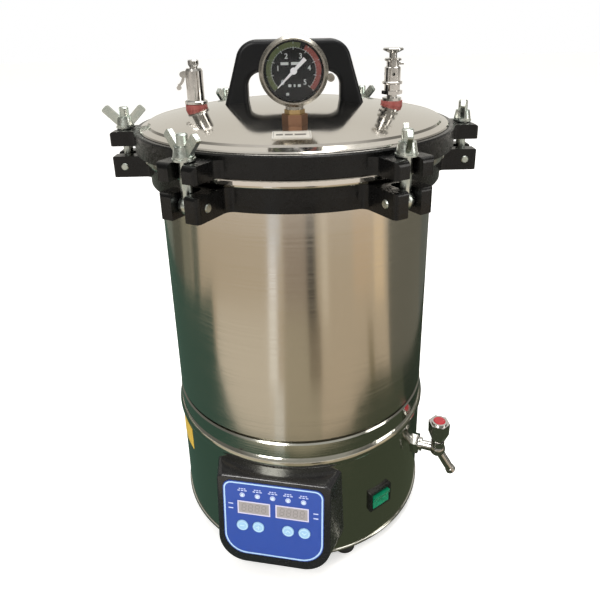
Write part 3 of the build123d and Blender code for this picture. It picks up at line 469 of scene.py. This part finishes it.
def add_strip(work, path, width, low, high, closed=False):
    """Flat bar of a constant width along a path, mitred at its corners."""
    count = len(path)
    rows = []
    for index, point in enumerate(path):
        here = Vector(point)
        before = Vector(path[index - 1]) if closed or index else here
        after = Vector(path[(index + 1) % count]) if closed or index < count - 1 else here
        first = (here - before).normalized() if (here - before).length else Vector((0, 0))
        second = (after - here).normalized() if (after - here).length else Vector((0, 0))
        along = (first + second).normalized()
        side = Vector((-along.y, along.x))
        stretch = 1 / max(0.5, along.dot(second if second.length else first))
        step = side * (width / 2 * stretch)
        rows.append([work.verts.new((*(here + sign * step), height))
                     for sign, height in ((-1, low), (1, low), (1, high), (-1, high))])
    add_skin(work, rows, closed)


def add_dash(work, middle, half, width, low, high):
    """Short level bar."""
    x, y = middle
    add_strip(work, [(x - half, y), (x + half, y)], width, low, high)


def arc(radius, start, stop, steps, centre=(0, 0)):
    """Points on a circle between two angles."""
    turns = [math.radians(start + (stop - start) * index / steps) for index in range(steps + 1)]
    return [(centre[0] + radius * math.cos(turn), centre[1] + radius * math.sin(turn))
            for turn in turns]


def rounded_outline(half, top, bottom, top_round, bottom_round):
    """Upright rectangle with rounded corners, as points."""
    points = arc(top_round, 0, 90, 6, (half - top_round, top - top_round))
    points += arc(top_round, 90, 180, 6, (-half + top_round, top - top_round))
    points += arc(bottom_round, 180, 270, 10, (-half + bottom_round, bottom + bottom_round))
    points += arc(bottom_round, 270, 360, 10, (half - bottom_round, bottom + bottom_round))
    return points


def outward_place(angle, out, height, tilt=0.0):
    """Matrix of a plane on the vessel's side: x right, y up, z outward."""
    turn, lean = math.radians(angle), math.radians(tilt)
    outward = Vector((math.cos(turn), math.sin(turn), 0))
    normal = outward * math.cos(lean) + Vector((0, 0, math.sin(lean)))
    across = Vector((-math.sin(turn), math.cos(turn), 0))
    up = normal.cross(across)
    place = Matrix((across, up, normal)).transposed().to_4x4()
    place.translation = outward * out + Vector((0, 0, height))
    return place


FACE = outward_place(FACE_ANGLE, FACE_OUT, FACE_HEIGHT, FACE_TILT)
DIAL = Matrix(((1, 0, 0, GAUGE_X), (0, 0, -1, DIAL_FRONT_Y), (0, 1, 0, GAUGE_Z), (0, 0, 0, 1)))


# ---------------------------------------------------------------- control face details

def make_panel_border():
    work = bmesh.new()
    path = rounded_outline(PANEL_HALF - BORDER_INSET, PANEL_TOP - BORDER_INSET,
                           PANEL_BOTTOM + BORDER_INSET, 8 * MM, 23 * MM)
    add_strip(work, path, 1.6 * MM, PANEL_SHEET, PANEL_SHEET + 0.12 * MM, closed=True)
    add_piece("panel_border", work, "border", "vessel", FACE)


def make_display_frames():
    work = bmesh.new()
    half_w, half_h = ((size + DISPLAY_RIM) / 2 for size in DISPLAY_SIZE)
    for x in DISPLAY_PLACES:
        path = [(x + u * half_w, DISPLAY_HEIGHT + v * half_h)
                for u, v in ((-1, -1), (1, -1), (1, 1), (-1, 1))]
        add_strip(work, path, DISPLAY_RIM, PANEL_SHEET, PANEL_SHEET + 0.25 * MM, closed=True)
    add_piece("display_frames", work, "frame", "vessel", FACE)


def segment_ends(start, stop):
    """Ends of one segment of a digit about its middle, from corners in half heights."""
    width, height = DIGIT_SIZE
    pull = 0.62 * DIGIT_BAR
    ends = []
    for (u, v), (other_u, other_v) in ((start, stop), (stop, start)):
        x, y = (u - 0.5) * width, (v - 1) * height / 2
        x += math.copysign(pull, other_u - u) if other_u != u else 0
        y += math.copysign(pull, other_v - v) if other_v != v else 0
        ends.append((x + DIGIT_SLANT * y, y))
    return ends


def make_display_digits():
    """Unlit seven-segment digits on each window."""
    work = bmesh.new()
    low, high = PANEL_SHEET, PANEL_SHEET + 0.04 * MM
    segments = [((0, 0), (1, 0)), ((0, 1), (1, 1)), ((0, 2), (1, 2)),
                ((0, 0), (0, 1)), ((1, 0), (1, 1)), ((0, 1), (0, 2)), ((1, 1), (1, 2))]
    for place in DISPLAY_PLACES:
        for index in range(4):
            middle = place + (index - 1.5) * DIGIT_STEP
            for start, stop in segments:
                ends = [(middle + x, DISPLAY_HEIGHT + y) for x, y in segment_ends(start, stop)]
                add_strip(work, ends, DIGIT_BAR, low, high)
    add_piece("display_digits", work, "digit", "vessel", FACE)


def make_panel_marks():
    """Plain dashes where a real panel has captions, and a pale ring round each lamp."""
    work = bmesh.new()
    low, high = PANEL_SHEET, PANEL_SHEET + 0.08 * MM
    for index in range(5):
        x = (index - 2) * LED_STEP
        add_strip(work, arc(2.5 * MM, 0, 345, 23, (x, LED_HEIGHT)), 0.7 * MM, low, high, True)
        for row, length in ((5.4 * MM, 11 * MM), (7.6 * MM, 8 * MM)):
            dash = length / 3
            for part in (-1, 0, 1):
                middle = (x + part * dash, LED_HEIGHT + row)
                add_dash(work, middle, dash * 0.36, 1.1 * MM, low, high)
    for side in (-1, 1):
        for y in (3.2 * MM, -2.6 * MM):
            middle = (side * 46 * MM, DISPLAY_HEIGHT + y)
            add_dash(work, middle, 2.6 * MM, 1.3 * MM, low, high)
    add_piece("panel_marks", work, "mark", "vessel", FACE)


def make_button_marks():
    """A small generic sign and a ring on each key: minus, plus, up and down."""
    low = PANEL_SHEET + BUTTON_STAND
    high = low + 0.1 * MM
    reach = 2.4 * MM
    signs = (
        [[(-reach, 0), (reach, 0)]],
        [[(-reach, 0), (reach, 0)], [(0, -reach), (0, reach)]],
        [[(-reach, -reach / 2), (0, reach / 2), (reach, -reach / 2)]],
        [[(-reach, reach / 2), (0, -reach / 2), (reach, reach / 2)]],
    )
    for index, (x, strokes) in enumerate(zip(BUTTON_PLACES, signs), start=1):
        work = bmesh.new()
        for stroke in strokes:
            path = [(x + u, BUTTON_HEIGHT + v) for u, v in stroke]
            add_strip(work, path, 0.9 * MM, low, high)
        ring = arc(4.9 * MM, 0, 350, 35, (x, BUTTON_HEIGHT))
        add_strip(work, ring, 0.5 * MM, low, high, True)
        add_piece(f"button_mark_{index}", work, "button_mark", f"button_{index}", FACE)


# ---------------------------------------------------------------- gauge details

def on_scale(share, radius):
    """Point of the dial at a share of the scale."""
    turn = math.radians(SCALE_START - SCALE_SWEEP * share)
    return radius * math.cos(turn), radius * math.sin(turn)


def make_dial_bands():
    """Green band over the working range and red band over the high one."""
    steps = 40
    for name, finish, start, stop in (("dial_band_green", "arc_green", 0.0, 0.56),
                                      ("dial_band_red", "arc_red", 0.6, 1.0)):
        work = bmesh.new()
        path = [on_scale(start + (stop - start) * step / steps, BAND_R)
                for step in range(steps + 1)]
        add_strip(work, path, BAND_WIDTH, 0.0, DIAL_INK)
        add_piece(name, work, finish, "lid", DIAL)


def make_dial_ticks():
    """Ticks inside the bands, longer at each fifth with one outside them, and a thin line."""
    work = bmesh.new()
    low, high = DIAL_INK, 2 * DIAL_INK
    for index in range(SCALE_TICKS + 1):
        share = index / SCALE_TICKS
        major = index % 5 == 0
        inner = DIAL_R * (0.68 if major else 0.735)
        ends = [on_scale(share, inner), on_scale(share, DIAL_R * 0.78)]
        add_strip(work, ends, (0.55 if major else 0.25) * MM, low, high)
        if major:
            outer = [on_scale(share, DIAL_R * 0.88), on_scale(share, DIAL_R * 0.93)]
            add_strip(work, outer, 0.4 * MM, low, high)
    path = [on_scale(step / 60, DIAL_R * 0.745) for step in range(61)]
    add_strip(work, path, 0.22 * MM, low, high)
    add_piece("dial_ticks", work, "print", "lid", DIAL)


def number_mesh(value):
    """Mesh of one number, centred on the origin."""
    curve = bpy.data.curves.new(f"dial_number_{value}", "FONT")
    curve.body = str(value)
    curve.size = NUMBER_SIZE
    curve.align_x = "CENTER"
    curve.align_y = "CENTER"
    curve.extrude = 0.03 * MM
    curve.offset = 0.08 * MM
    source = new_object("number_source", curve)
    bpy.context.view_layer.update()
    mesh = bpy.data.meshes.new_from_object(source)
    bpy.data.objects.remove(source)
    mesh.materials.clear()
    return mesh


def make_dial_numbers():
    """Plain numbers 0 to 5 round the scale."""
    for value in range(6):
        mesh = number_mesh(value)
        x, y = on_scale(value / 5, NUMBER_R)
        mesh.transform(DIAL @ Matrix.Translation((x, y, 0.1 * MM)))
        mesh.materials.append(FINISH["print"])
        piece = new_object(f"dial_number_{value}", mesh)
        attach(piece, "lid")


def make_dial_dashes():
    """Dashes in place of the dial's words: middle and half length in dial radii."""
    work = bmesh.new()
    for x, y, half in ((-0.3, 0.24, 0.13), (0.08, 0.24, 0.16), (-0.14, -0.48, 0.05),
                       (0.02, -0.48, 0.03), (0.18, -0.48, 0.05), (-0.22, -0.76, 0.05)):
        add_dash(work, (DIAL_R * x, DIAL_R * y), DIAL_R * half, DIAL_R * 0.09, 0.0, DIAL_INK)
    add_piece("dial_dashes", work, "print", "lid", DIAL)


# ---------------------------------------------------------------- lid and base details

def lid_place(x, out):
    """Plane lying on the dome: x right, y to the back, z outward."""
    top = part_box("lid_plate")[1].z
    lean = math.asin(out / DOME_BALL_R)
    place = Matrix.Translation((0, 0, top - DOME_BALL_R)) @ Matrix.Rotation(lean, 4, "X")
    return place @ Matrix.Translation((x, 0, DOME_BALL_R))


def make_blank_plate():
    """Small blank metal plate on the dome in front of the gauge, with dashes for its text."""
    place = lid_place(*PLATE_PLACE)
    half_w, half_d = PLATE_HALF
    work = bmesh.new()
    outline = rounded_outline(half_w, half_d, -half_d, 1.5 * MM, 1.5 * MM)
    add_slab(work, outline, -0.3 * MM, PLATE_SHEET)
    add_piece("blank_plate", work, "plate", "lid", place)
    work = bmesh.new()
    top = PLATE_SHEET + PLATE_INK
    for x, half in ((-10.5, 3.0), (-2.5, 3.4), (7.5, 5.0)):
        add_dash(work, (x * MM, 0), half * MM, 3.2 * MM, PLATE_SHEET, top)
    inset = 1.2 * MM
    line = rounded_outline(half_w - inset, half_d - inset, inset - half_d, MM, MM)
    add_strip(work, line, 0.35 * MM, PLATE_SHEET, top, closed=True)
    add_piece("blank_plate_dashes", work, "engraving", "lid", place)


def make_blank_label():
    """Plain yellow sticker that wraps round the left of the base."""
    work = bmesh.new()
    low, high = LABEL_HEIGHTS
    inner, outer = BASE_R + 0.05 * MM, BASE_R + 0.3 * MM
    start, stop = LABEL_ANGLES
    rows = []
    for step in range(LABEL_STEPS + 1):
        turn = math.radians(start + (stop - start) * step / LABEL_STEPS)
        rows.append([work.verts.new((radius * math.cos(turn), radius * math.sin(turn), height))
                     for radius, height in ((inner, low), (outer, low), (outer, high),
                                            (inner, high))])
    add_skin(work, rows)
    add_piece("blank_label", work, "label", "vessel")


# ---------------------------------------------------------------- room

def emission(name, color):
    """Material that only glows."""
    made = bpy.data.materials.new(name)
    made.use_nodes = True
    made.node_tree.nodes.clear()
    glow = add(made, "Emission", Color=(*color, 1))
    output = add(made, "OutputMaterial")
    join(made, glow.outputs["Emission"], output.inputs["Surface"])
    return made


def make_card(name, outline, height, color):
    """Flat level card of one colour that only mirrors see."""
    mesh = bpy.data.meshes.new(name)
    corners = [(x, y, height) for x, y in outline]
    mesh.from_pydata(corners, [], [tuple(range(len(corners)))])
    mesh.materials.append(emission(name, color))
    card = new_object(name, mesh)
    card.visible_camera = False
    card.visible_diffuse = False
    card.visible_shadow = False
    card.visible_transmission = False


def square(reach):
    """Corners of a square about the origin."""
    return [(-reach, -reach), (reach, -reach), (reach, reach), (-reach, reach)]


def wedge(azimuth, half_width, near, far, steps=4):
    """Corners of a wedge of ground; azimuth 0 is the front, positive to the right."""
    corners = []
    for radius, direction in ((near, 1), (far, -1)):
        for step in range(-steps, steps + 1):
            angle = math.radians(azimuth + direction * half_width * step / steps)
            corners.append((radius * math.sin(angle), -radius * math.cos(angle)))
    return corners


def make_mirrored_ground():
    """Pale ground with darker and brighter wedges, lowest first."""
    make_card("far_ground", square(FAR_GROUND_REACH), FAR_GROUND_Z, FAR_GROUND_COLOR)
    make_card("ground", wedge(0, 180, 0, GROUND_REACH, 72), GROUND_Z, GROUND_COLOR)
    for index, (azimuth, half_width, near, far, color) in enumerate(FLOOR_PATCHES):
        make_card(f"patch_{index}", wedge(azimuth, half_width, near, far),
                  PATCH_Z + PATCH_Z_STEP * index, color)


def make_mirrored_table():
    """Dark green tabletop over the ground, in three parts."""
    left, right = TABLE_LEFT_EDGE[0][0], TABLE_RIGHT_EDGE[-1][0]
    make_card("table_left", [*TABLE_LEFT_EDGE, (TABLE_MIDDLE_X, TABLE_DEPTH), (left, TABLE_DEPTH)],
              TABLE_Z, TABLE_LEFT_COLOR)
    make_card("table_right", [*TABLE_RIGHT_EDGE, (TABLE_MIDDLE_X, 0.0)], TABLE_Z,
              TABLE_RIGHT_COLOR)
    make_card("table_back", [(TABLE_MIDDLE_X, 0.0), (right, 0.0), (right, TABLE_DEPTH),
                             (TABLE_MIDDLE_X, TABLE_DEPTH)], TABLE_Z, TABLE_BACK_COLOR)


def make_floor():
    """White floor that takes the object's shadow but isn't mirrored by it."""
    mesh = bpy.data.meshes.new("floor")
    corners = [(x, y, 0) for x, y in square(FLOOR_REACH)]
    mesh.from_pydata(corners, [], [(0, 1, 2, 3)])
    pale = new_material("floor_pale", (0.86, 0.86, 0.86), 0.7, Emission_Strength=0.5,
                        Emission_Color=(1, 1, 1, 1))
    vary_roughness(pale, grain(pale, 4, 3.0), 0.6, 0.8)
    mesh.materials.append(pale)
    floor = new_object("floor", mesh)
    floor.location.z = FLOOR_Z
    floor.visible_glossy = False


def room_shade(world, height):
    """Colour of the room by height: dark low down, pale walls and a bright ceiling."""
    share = add(world, "MapRange", From_Min=-1.0)
    join(world, height, share.inputs["Value"])
    walls = add(world, "ValToRGB")
    join(world, share.outputs["Result"], walls.inputs["Fac"])
    stops = walls.color_ramp.elements
    for stop, (position, color) in ((stops[0], ROOM_SHADES[0]), (stops[1], ROOM_SHADES[-1])):
        stop.position = position
        stop.color = color
    for position, color in ROOM_SHADES[1:-1]:
        stops.new(position).color = color
    return walls.outputs["Color"]


def room_strength(world, across, deep):
    """Brightness of the room: brighter at the back, and dimmed at both sides."""
    depth = add(world, "MapRange", From_Min=-1.0, To_Min=0.55, To_Max=1.1)
    join(world, deep, depth.inputs["Value"])
    aside = add(world, "Math")
    aside.operation = "ABSOLUTE"
    join(world, across, aside.inputs[0])
    sides = add(world, "MapRange", From_Min=0.5, From_Max=0.75, To_Min=1.0, To_Max=0.35)
    join(world, aside.outputs["Value"], sides.inputs["Value"])
    dimmer = add(world, "Math")
    dimmer.operation = "MULTIPLY"
    join(world, depth.outputs["Result"], dimmer.inputs[0])
    join(world, sides.outputs["Result"], dimmer.inputs[1])
    return dimmer.outputs["Value"]


def make_world():
    """White backdrop for the camera, and a plain room for the light and the reflections."""
    world = bpy.data.worlds.new("room")
    bpy.context.scene.world = world
    world.use_nodes = True
    world.node_tree.nodes.clear()
    place = add(world, "TexCoord")
    parts = add(world, "SeparateXYZ")
    join(world, place.outputs["Generated"], parts.inputs["Vector"])
    room = add(world, "Background")
    join(world, room_shade(world, parts.outputs["Z"]), room.inputs["Color"])
    join(world, room_strength(world, parts.outputs["X"], parts.outputs["Y"]),
         room.inputs["Strength"])
    white = add(world, "Background", Color=(1, 1, 1, 1), Strength=1.0)
    path = add(world, "LightPath")
    mix = add(world, "MixShader")
    join(world, path.outputs["Is Camera Ray"], mix.inputs["Fac"])
    join(world, room.outputs["Background"], mix.inputs[1])
    join(world, white.outputs["Background"], mix.inputs[2])
    output = add(world, "OutputWorld")
    join(world, mix.outputs["Shader"], output.inputs["Surface"])


def make_lights():
    for name, place, aim, size, power, color in LAMPS:
        lamp = bpy.data.lights.new(name, "AREA")
        lamp.shape = "RECTANGLE"
        lamp.size, lamp.size_y = size
        lamp.energy = power
        lamp.color = color
        made = new_object(name, lamp)
        made.location = place
        ray = Vector(aim) - Vector(place)
        made.rotation_euler = ray.to_track_quat("-Z", "Y").to_euler()


def make_camera():
    down, turn, roll = (math.radians(angle)
                        for angle in (CAMERA_DOWN, CAMERA_TURN, CAMERA_ROLL))
    ahead = Vector((math.sin(turn) * math.cos(down), math.cos(turn) * math.cos(down),
                    -math.sin(down)))
    level = ahead.cross(Vector((0, 0, 1))).normalized()
    right = level * math.cos(roll) + level.cross(ahead) * math.sin(roll)
    up = right.cross(ahead)
    lens = bpy.data.cameras.new("camera")
    lens.lens = CAMERA_LENS
    lens.sensor_width = 36
    lens.shift_x, lens.shift_y = CAMERA_SHIFT
    lens.clip_start = 0.02
    camera = new_object("camera", lens)
    place = Matrix((right, up, -ahead)).transposed().to_4x4()
    place.translation = CAMERA_PLACE
    camera.matrix_world = place
    bpy.context.scene.camera = camera


# ---------------------------------------------------------------- build

bpy.context.scene.view_settings.view_transform = "Standard"
make_camera()
make_world()
make_lights()
make_floor()
make_mirrored_ground()
make_mirrored_table()
finish_cad_nodes()
make_panel_border()
make_display_frames()
make_display_digits()
make_panel_marks()
make_button_marks()
make_dial_bands()
make_dial_ticks()
make_dial_numbers()
make_dial_dashes()
make_blank_plate()
make_blank_label()
